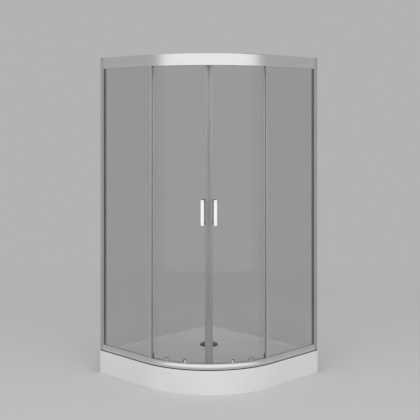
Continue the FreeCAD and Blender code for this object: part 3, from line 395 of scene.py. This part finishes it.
def clearGlass(name):  # toughened glass with a faint grey tint; it lets the lamps' light through
    look = {
        "dark": 0.65, "light": 0.67, "shadow": 0.80, "ior": 1.46, "shine": 0.4,
        "hazeScale": (5.0, 5.0, 5.0), "hazeDetail": 3.0, "roughLow": 0.0, "roughHigh": 0.02,
    }
    material, recipe = newFinish(name)
    haze = recipe.noise(look["hazeScale"], look["hazeDetail"])
    pane = recipe.add("BsdfPrincipled", {}, {
        "Base Color": toned(recipe, recipe.spread(haze, 0.0, 1.0), look),
        "Roughness": recipe.spread(haze, look["roughLow"], look["roughHigh"]),
        "IOR": look["ior"], "Transmission Weight": 1.0, "Specular IOR Level": look["shine"]})
    clear = recipe.add("BsdfTransparent", {}, {0: grey(look["shadow"])})
    shadow = recipe.add("LightPath", output="Is Shadow Ray")
    recipe.end(recipe.add("MixShader", {}, {0: shadow, 1: pane, 2: clear}))
    return material


finishes = {
    "rails": plainFinish("railAluminium", railAluminium),
    "posts": plainFinish("postShadedAluminium", postShadedAluminium),
    "doorEdges": plainFinish("doorShadedAluminium", doorShadedAluminium),
    "trailingEdges": plainFinish("satinShadedAluminium", satinShadedAluminium),
    "chrome": plainFinish("mirrorChrome", chromeLook),
    "acrylic": plainFinish("whiteAcrylic", acrylicLook),
    "cover": plainFinish("darkCover", coverLook),
    "steel": plainFinish("polishedSteel", steelLook),
    "zinc": plainFinish("zincPlate", zincLook),
    "blackPlastic": plainFinish("blackPlastic", blackLook),
    "rubber": plainFinish("blackRubber", rubberLook),
    "whitePlastic": plainFinish("whitePlastic", whiteLook),
    "nylon": plainFinish("nylon", nylonLook),
    "capPlastic": plainFinish("greyPlastic", capLook),
    "gasket": plainFinish("greyGasket", gasketLook),
    "railGasket": plainFinish("paleGasket", railGasketLook),
    "vinyl": plainFinish("clearVinyl", vinylLook),
    "paleVinyl": plainFinish("paleVinyl", paleVinylLook),
    "galvanised": galvanised("galvanisedSteel"),
    "board": chipboard("chipboard"),
    "glass": clearGlass("clearGlass"),
}
finishOfNode = {
    "tray_shell": "acrylic", "tray_board": "board", "tray_frame": "galvanised", "tray_legs": "zinc",
    "tray_feet": "blackPlastic", "waste_body": "whitePlastic", "waste_flange": "steel",
    "waste_seal": "rubber", "outlet_pipe": "whitePlastic", "outlet_nut": "whitePlastic",
    "drain_cover": "cover", "top_rail": "rails", "bottom_rail": "rails", "post_caps": "capPlastic",
    "post_gaskets": "gasket", "glazing_gaskets": "railGasket", "stile_seals": "paleVinyl",
    "frame_screws": "zinc", "corner_blocks": "blackPlastic", "track_stops": "blackPlastic",
    "wall_profile": "posts", "side_post": "posts", "fixed_stile": "posts", "fixed_glass": "glass",
    "door_glass": "glass", "leading_profile": "doorEdges", "trailing_profile": "trailingEdges",
    "magnet_seal": "vinyl", "bottom_seal": "vinyl", "handle": "chrome", "handle_inner": "chrome",
    "roller_mounts": "chrome", "lower_carriage": "chrome", "lower_spring": "zinc",
    "upper_wheel": "nylon", "lower_wheel": "nylon",
}
for nodeName, node in nodes.items():
    base = nodeName
    for ending in ("_left", "_right", "_front", "_rear"):
        base = base.removesuffix(ending)
    for index in range(len(node.data.materials)):
        node.data.materials[index] = finishes[finishOfNode[base]]
print("finishes given to", len(nodes), "nodes")


# the plan that every piece follows: the straight sides run into one quarter of a circle
plan = {"half": 0.5, "corner": 0.55, "arcSteps": 72}
arcCentre = Vector((plan["half"] - plan["corner"], plan["corner"] - plan["half"], 0.0))
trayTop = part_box("tray_shell")[1][2]
tiny = 1e-5
mergeGap = 1e-6
sharpAngle = math.radians(32.0)
fineSteps = 3  # round of a small edge
upright = (0.0, 0.0, 1.0)
origin = (0.0, 0.0, 0.0)


def only(kind, items):
    return [item for item in items if isinstance(item, kind)]


def newPiece(name, shape, finish, body, replaced=()):  # with no body it is attached to none
    bmesh.ops.remove_doubles(shape, verts=shape.verts, dist=mergeGap)
    bmesh.ops.recalc_face_normals(shape, faces=shape.faces)
    mesh = bpy.data.meshes.new(name)
    shape.to_mesh(mesh)
    shape.free()
    mesh.shade_smooth()
    mesh.set_sharp_from_angle(angle=sharpAngle)
    mesh.materials.append(finishes[finish])
    piece = bpy.data.objects.new(name, mesh)
    scene.collection.objects.link(piece)
    if body:
        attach(piece, body)
    if replaced:
        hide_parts(*replaced)
    return piece


def evenShading(piece):  # keeps flat faces flat next to rounded edges
    modifier = piece.modifiers.new("evenShading", "WEIGHTED_NORMAL")
    modifier.keep_sharp = True


# tray: a pressed shell with a rolled lip, soft slopes and a recess for the waste
tray = {
    "thick": 0.005,
    "lipRound": 0.0052,
    "lipCorner": (0.0012, 0.009),  # round of its corners at the walls, below and on top
    "lipDrop": 0.020,  # how far the lip turns down at the two walls
    "rim": (0.045, 0.072),  # width at the walls, at the front
    "slope": (0.115, 0.024),
    "rimBack": 0.110,  # rounds of the basin's corner at the walls
    "floorBack": 0.190,
    "endRound": 0.035,
    "floorRing": (0.03, 0.01),  # the floor's inner ring: how far in, how much less its end round
    "depth": 0.035,
    "rimRound": 0.012,
    "floorRound": 0.020,
    "roundSteps": 7,
    "cornerSteps": 12,
    "drain": (-0.202, 0.202),
    "recess": (0.062, 0.060),  # radius at the floor, at its bottom
    "recessDepth": 0.006,
    "recessRound": 0.0015,
    "bore": 0.044,
    "circleSteps": 64,
}


def planRing(shape, wall, front, backRound, endRound, level):
    left, right = wall - plan["half"], plan["half"] - front
    corners = ((left, -right), (right, -right), (right, -left), (left, -left))
    rounds = (endRound, plan["corner"] - front, endRound, backRound)
    steps = (tray["cornerSteps"], plan["arcSteps"], tray["cornerSteps"], tray["cornerSteps"])
    known = set(shape.edges)
    verts = [shape.verts.new((x, y, level)) for x, y in corners]
    shape.faces.new(verts)
    for vert, size, count in zip(verts, rounds, steps):
        bmesh.ops.bevel(shape, geom=[vert], offset=size, offset_type="OFFSET", segments=count,
                        profile=0.5, affect="VERTICES", material=-1, clamp_overlap=False)
    ring = [edge for edge in shape.edges if edge not in known]
    bmesh.ops.delete(shape, geom=ring[0].link_faces[:], context="FACES_ONLY")
    return ring


def lipRings(shape):  # from the turned down edge over the rolled lip to the flat rim
    (corner, topCorner), size = tray["lipCorner"], tray["lipRound"]
    rings = [planRing(shape, 0.0, 0.0, corner, corner, trayTop - tray["lipDrop"])]
    for step in range(tray["roundSteps"] + 1):
        share = step / tray["roundSteps"]
        angle, turn = math.radians(90.0) * share, corner + (topCorner - corner) * share
        inset, level = size - size * math.cos(angle), trayTop - size + size * math.sin(angle)
        rings.append(planRing(shape, inset, inset, turn, turn, level))
    return rings


# rings at one level would bridge twisted, so they are held apart meanwhile
def joinRings(shape, rings):
    apart = 0.05
    corners = [list({vert for edge in ring for vert in edge.verts}) for ring in rings]
    for index, verts in enumerate(corners):
        bmesh.ops.translate(shape, verts=verts, vec=(0.0, 0.0, -apart * index))
    for outer, nearer in zip(rings, rings[1:]):
        bmesh.ops.bridge_loops(shape, edges=outer + nearer)
    for index, verts in enumerate(corners):
        bmesh.ops.translate(shape, verts=verts, vec=(0.0, 0.0, apart * index))


def circleRing(shape, radius, level):
    spot = Matrix.Translation((*tray["drain"], level))
    made = bmesh.ops.create_circle(shape, segments=tray["circleSteps"], radius=radius, matrix=spot)
    return list({edge for vert in made["verts"] for edge in vert.link_edges})


def dropEdges(shape, edges, drop):
    made = bmesh.ops.extrude_edge_only(shape, edges=edges)["geom"]
    bmesh.ops.translate(shape, verts=only(bmesh.types.BMVert, made), vec=(0.0, 0.0, -drop))


def roundEdges(shape, edges, size, steps):
    bmesh.ops.bevel(shape, geom=edges, offset=size, offset_type="OFFSET", segments=steps,
                    profile=0.5, affect="EDGES", material=-1, clamp_overlap=False)


def inSkirt(edge):  # not along the two walls, nor on the small round between them
    middle = (edge.verts[0].co + edge.verts[1].co) / 2
    fromLeft, fromRight = middle.x + plan["half"], plan["half"] - middle.y
    return min(fromLeft, fromRight) > tiny and max(fromLeft, fromRight) > 2 * tray["lipCorner"][0]


def makeTray():
    shape = bmesh.new()
    floorLevel = trayTop - tray["depth"]
    rimWall, rimFront = tray["rim"]
    floorWall, floorFront = rimWall + tray["slope"][0], rimFront + tray["slope"][1]
    lip = lipRings(shape)
    rim = planRing(shape, rimWall, rimFront, tray["rimBack"], tray["endRound"], trayTop)
    foot = planRing(shape, floorWall, floorFront, tray["floorBack"], tray["endRound"], floorLevel)
    step, less = tray["floorRing"]
    inner = planRing(shape, floorWall + step, floorFront + step, tray["floorBack"] - step,
                     tray["endRound"] - less, floorLevel)
    recess = [circleRing(shape, radius, level) for radius, level in (
        (tray["recess"][0], floorLevel), (tray["recess"][1], floorLevel - tray["recessDepth"]),
        (tray["bore"], floorLevel - tray["recessDepth"]))]
    joinRings(shape, lip + [rim, foot, inner])
    joinRings(shape, recess)
    bmesh.ops.triangle_fill(shape, use_beauty=True, use_dissolve=False, edges=inner + recess[0])
    dropEdges(shape, [edge for edge in lip[0] if inSkirt(edge)], trayTop - tray["lipDrop"])
    roundEdges(shape, rim, tray["rimRound"], tray["roundSteps"])
    roundEdges(shape, foot, tray["floorRound"], tray["roundSteps"])
    roundEdges(shape, recess[0], tray["recessRound"], fineSteps)
    piece = newPiece("trayShell", shape, "acrylic", "frame", ("tray_shell",))
    wall = piece.modifiers.new("wall", "SOLIDIFY")
    wall.thickness = tray["thick"]
    wall.offset = -1.0
    evenShading(piece)


makeTray()
print("tray made")


# carries a profile of (inset, level) points along one side, round the corner and along the other
def planPath(shape, profile, inset, wallEnd):
    reach = plan["half"] - wallEnd
    start = [shape.verts.new((-reach, inset + across - plan["half"], level))
             for across, level in profile]
    moved = bmesh.ops.extrude_face_region(shape, geom=[shape.faces.new(start)])["geom"]
    bmesh.ops.translate(shape, verts=only(bmesh.types.BMVert, moved),
                        vec=(reach + arcCentre.x, 0.0, 0.0))
    arcStart = only(bmesh.types.BMFace, moved)
    turned = bmesh.ops.spin(shape, geom=arcStart, cent=arcCentre, axis=upright,
                            angle=math.radians(90.0), steps=plan["arcSteps"],
                            use_duplicate=False)["geom_last"]
    arcEnd = only(bmesh.types.BMFace, turned)
    moved = bmesh.ops.extrude_face_region(shape, geom=arcEnd)["geom"]
    bmesh.ops.translate(shape, verts=only(bmesh.types.BMVert, moved),
                        vec=(0.0, reach - arcCentre.y, 0.0))
    bmesh.ops.delete(shape, geom=arcStart + arcEnd, context="FACES_ONLY")


# shadow strip: a dark rubber strip under the bottom rail, painted shade for the shadow line between
# rail and tray
shadowStrip = {
    "low": 0.1436,
    "inset": 0.0016,
    "wide": 0.0014,
    "high": 0.0058,
    "wallEnd": 0.004,
    "chamfer": (0.35, 0.75),  # shares of the width and the height where its outer edge is cut off
}


def makeShadowStrip():
    shape = bmesh.new()
    wide, high, low = shadowStrip["wide"], shadowStrip["high"], shadowStrip["low"]
    across, up = shadowStrip["chamfer"]
    profile = ((wide, low), (wide, low + high), (wide * across, low + high),
               (0.0, low + high * up), (0.0, low))
    planPath(shape, profile, shadowStrip["inset"], shadowStrip["wallEnd"])
    newPiece("railShadowStrip", shape, "rubber", "frame")


makeShadowStrip()
print("bead made")


# a fitting on a door lies square to a line that points outwards from the corner's centre
sides = {"left": 1.0, "right": -1.0}


def outwards(side, degrees, radius, level, way=1.0):
    angle = math.radians(-45.0 - degrees * sides[side])
    ray = Vector((math.cos(angle), math.sin(angle), 0.0))
    spot = arcCentre + ray * radius
    turn = (ray * way).to_track_quat("Z", "Y").to_matrix().to_4x4()
    return Matrix.Translation((spot.x, spot.y, level)) @ turn


def joinShape(shape, part):
    loose = bpy.data.meshes.new("loose")
    part.to_mesh(loose)
    part.free()
    shape.from_mesh(loose)
    bpy.data.meshes.remove(loose)


turnedSteps = 40


def addTurned(shape, outline, spot):  # outline: (distance from the line, height along it)
    part = bmesh.new()
    verts = [part.verts.new((across, 0.0, along)) for across, along in outline]
    edges = [part.edges.new(pair) for pair in zip(verts, verts[1:])]
    bmesh.ops.spin(part, geom=verts + edges, cent=origin, axis=upright, angle=math.radians(360.0),
                   steps=turnedSteps, use_merge=True)
    bmesh.ops.remove_doubles(part, verts=part.verts, dist=mergeGap)
    bmesh.ops.transform(part, matrix=spot, verts=part.verts)
    joinShape(shape, part)


# handles: a bar with rolled edges on two posts, each post on a dark disc against the glass
handle = {
    "turn": 4.2,  # degrees off the diagonal, to each side
    "glass": {"outer": 0.506, "inner": 0.500},  # the door glass's faces from the corner's centre
    "gap": 0.024,
    "wide": 0.0225,
    "thick": 0.010,
    "barRound": 0.0034,
    "endRound": 0.0012,
    "roundSteps": 5,
    "end": 0.014,  # from the bar's end to the post's axis
    "post": 0.0065,
    "flare": 0.0022,
    "seat": 0.0004,  # how far a post runs into the bar and the disc
    "disc": 0.0152,
    "discThick": 0.0030,
    "discRound": 0.0008,
    "discSlope": 0.3,  # how far the middle of that round lies in, as a share of it
    "squareEdge": 1.0,  # radians: edges turned further than this are the bar's ends
}


def runsAlong(edge):
    return abs(edge.verts[0].co.y - edge.verts[1].co.y) > tiny


def handleBar(shape, spot, length):
    part = bmesh.new()
    bmesh.ops.create_cube(part, size=1.0)
    bmesh.ops.scale(part, verts=part.verts, vec=(handle["wide"], length, handle["thick"]))
    long = [edge for edge in part.edges if runsAlong(edge)]
    roundEdges(part, long, handle["barRound"], handle["roundSteps"])
    ends = [edge for edge in part.edges
            if not runsAlong(edge) and edge.calc_face_angle() > handle["squareEdge"]]
    roundEdges(part, ends, handle["endRound"], fineSteps)
    bmesh.ops.transform(part, matrix=spot, verts=part.verts)
    joinShape(shape, part)


def makeHandle(side, face, node):
    low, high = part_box(node)
    length, middle = high[2] - low[2], (high[2] + low[2]) / 2
    way = 1.0 if face == "outer" else -1.0
    turn, glass, gap = handle["turn"], handle["glass"][face], handle["gap"]
    metal, pads = bmesh.new(), bmesh.new()
    barRadius = glass + way * (gap + handle["thick"] / 2)
    handleBar(metal, outwards(side, turn, barRadius, middle, way), length)
    radius, flare, seat = handle["post"], handle["flare"], handle["seat"]
    thick, slope = handle["discThick"], handle["discRound"] * handle["discSlope"]
    post = ((0.0, thick - seat), (radius + flare, thick - seat), (radius + flare, thick + seat),
            (radius, thick + flare), (radius, gap + seat), (0.0, gap + seat))
    disc, size = handle["disc"], handle["discRound"]
    pad = ((0.0, 0.0), (disc, 0.0), (disc, thick - size), (disc - slope, thick - slope),
           (disc - size, thick), (0.0, thick))
    reach = length / 2 - handle["end"]
    for level in (middle - reach, middle + reach):
        spot = outwards(side, turn, glass, level, way)
        addTurned(metal, post, spot)
        addTurned(pads, pad, spot)
    name = "handle" + face.capitalize() + side.capitalize()
    evenShading(newPiece(name, metal, "chrome", side + "_door", (node,)))
    newPiece(name + "Discs", pads, "rubber", side + "_door")


for side in sides:
    makeHandle(side, "outer", "handle_" + side)
    makeHandle(side, "inner", "handle_inner_" + side)
print("handles made")


# rollers: a dark ring let into each round plate at the foot of the doors, a painted reflection of
# the dark that the chrome caps mirror
ring = {
    "turns": {"front": 16.5, "rear": 30.5},
    "plate": 0.5089,  # the plate's face from the corner's centre
    "plateRadius": 0.017,
    "inner": 0.0088,
    "outer": 0.0140,
    "proud": 0.0005,
    "sunk": 0.0012,
}


def makeReflectionRing(side, which):
    carriage = "_".join(("lower_carriage", which, side))
    name = "rollerReflectionRing" + which.capitalize() + side.capitalize()
    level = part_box(carriage)[1][2] - ring["plateRadius"]
    inner, outer, proud, sunk = ring["inner"], ring["outer"], ring["proud"], ring["sunk"]
    shape = bmesh.new()
    addTurned(shape, ((inner, -sunk), (outer, -sunk), (outer, proud / 2), (outer - proud, proud),
                      (inner + proud, proud), (inner, proud / 2), (inner, -sunk)),
              outwards(side, ring["turns"][which], ring["plate"], level))
    newPiece(name, shape, "blackPlastic", carriage)


for side in sides:
    for which in ring["turns"]:
        makeReflectionRing(side, which)
print("roller rings made")


# springs: a fixed coil in the place of each lower spring; on the real roller its top goes down with
# the stud and its foot stays in the bush
spring = {"wire": 0.00025, "pitch": 0.002, "turnSteps": 24, "wireSteps": 10}


def makeSpring(side, which):
    node = "_".join(("lower_spring", which, side))
    name = "rollerSpring" + which.capitalize() + side.capitalize()
    low, high = Vector(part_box(node)[0]), Vector(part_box(node)[1])
    wire, middle = spring["wire"], (low + high) / 2
    radius, height = (high.x - low.x) / 2 - wire, high.z - low.z - 2 * wire
    turns = height / spring["pitch"]
    steps = round(turns * spring["turnSteps"])
    shape = bmesh.new()
    section = Matrix.Translation((radius, 0.0, wire)) @ Matrix.Rotation(math.radians(90.0), 4, "X")
    bmesh.ops.create_circle(shape, cap_ends=True, segments=spring["wireSteps"], radius=wire,
                            matrix=section)
    bmesh.ops.spin(shape, geom=shape.faces[:], cent=origin, axis=upright,
                   dvec=(0.0, 0.0, height / steps), angle=math.radians(360.0) * turns,
                   steps=steps, use_duplicate=False)
    bmesh.ops.translate(shape, verts=shape.verts, vec=(middle.x, middle.y, low.z))
    piece = newPiece(name, shape, "zinc", None, (node,))
    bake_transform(piece)


for side in sides:
    for which in ring["turns"]:
        makeSpring(side, which)
print("springs made")
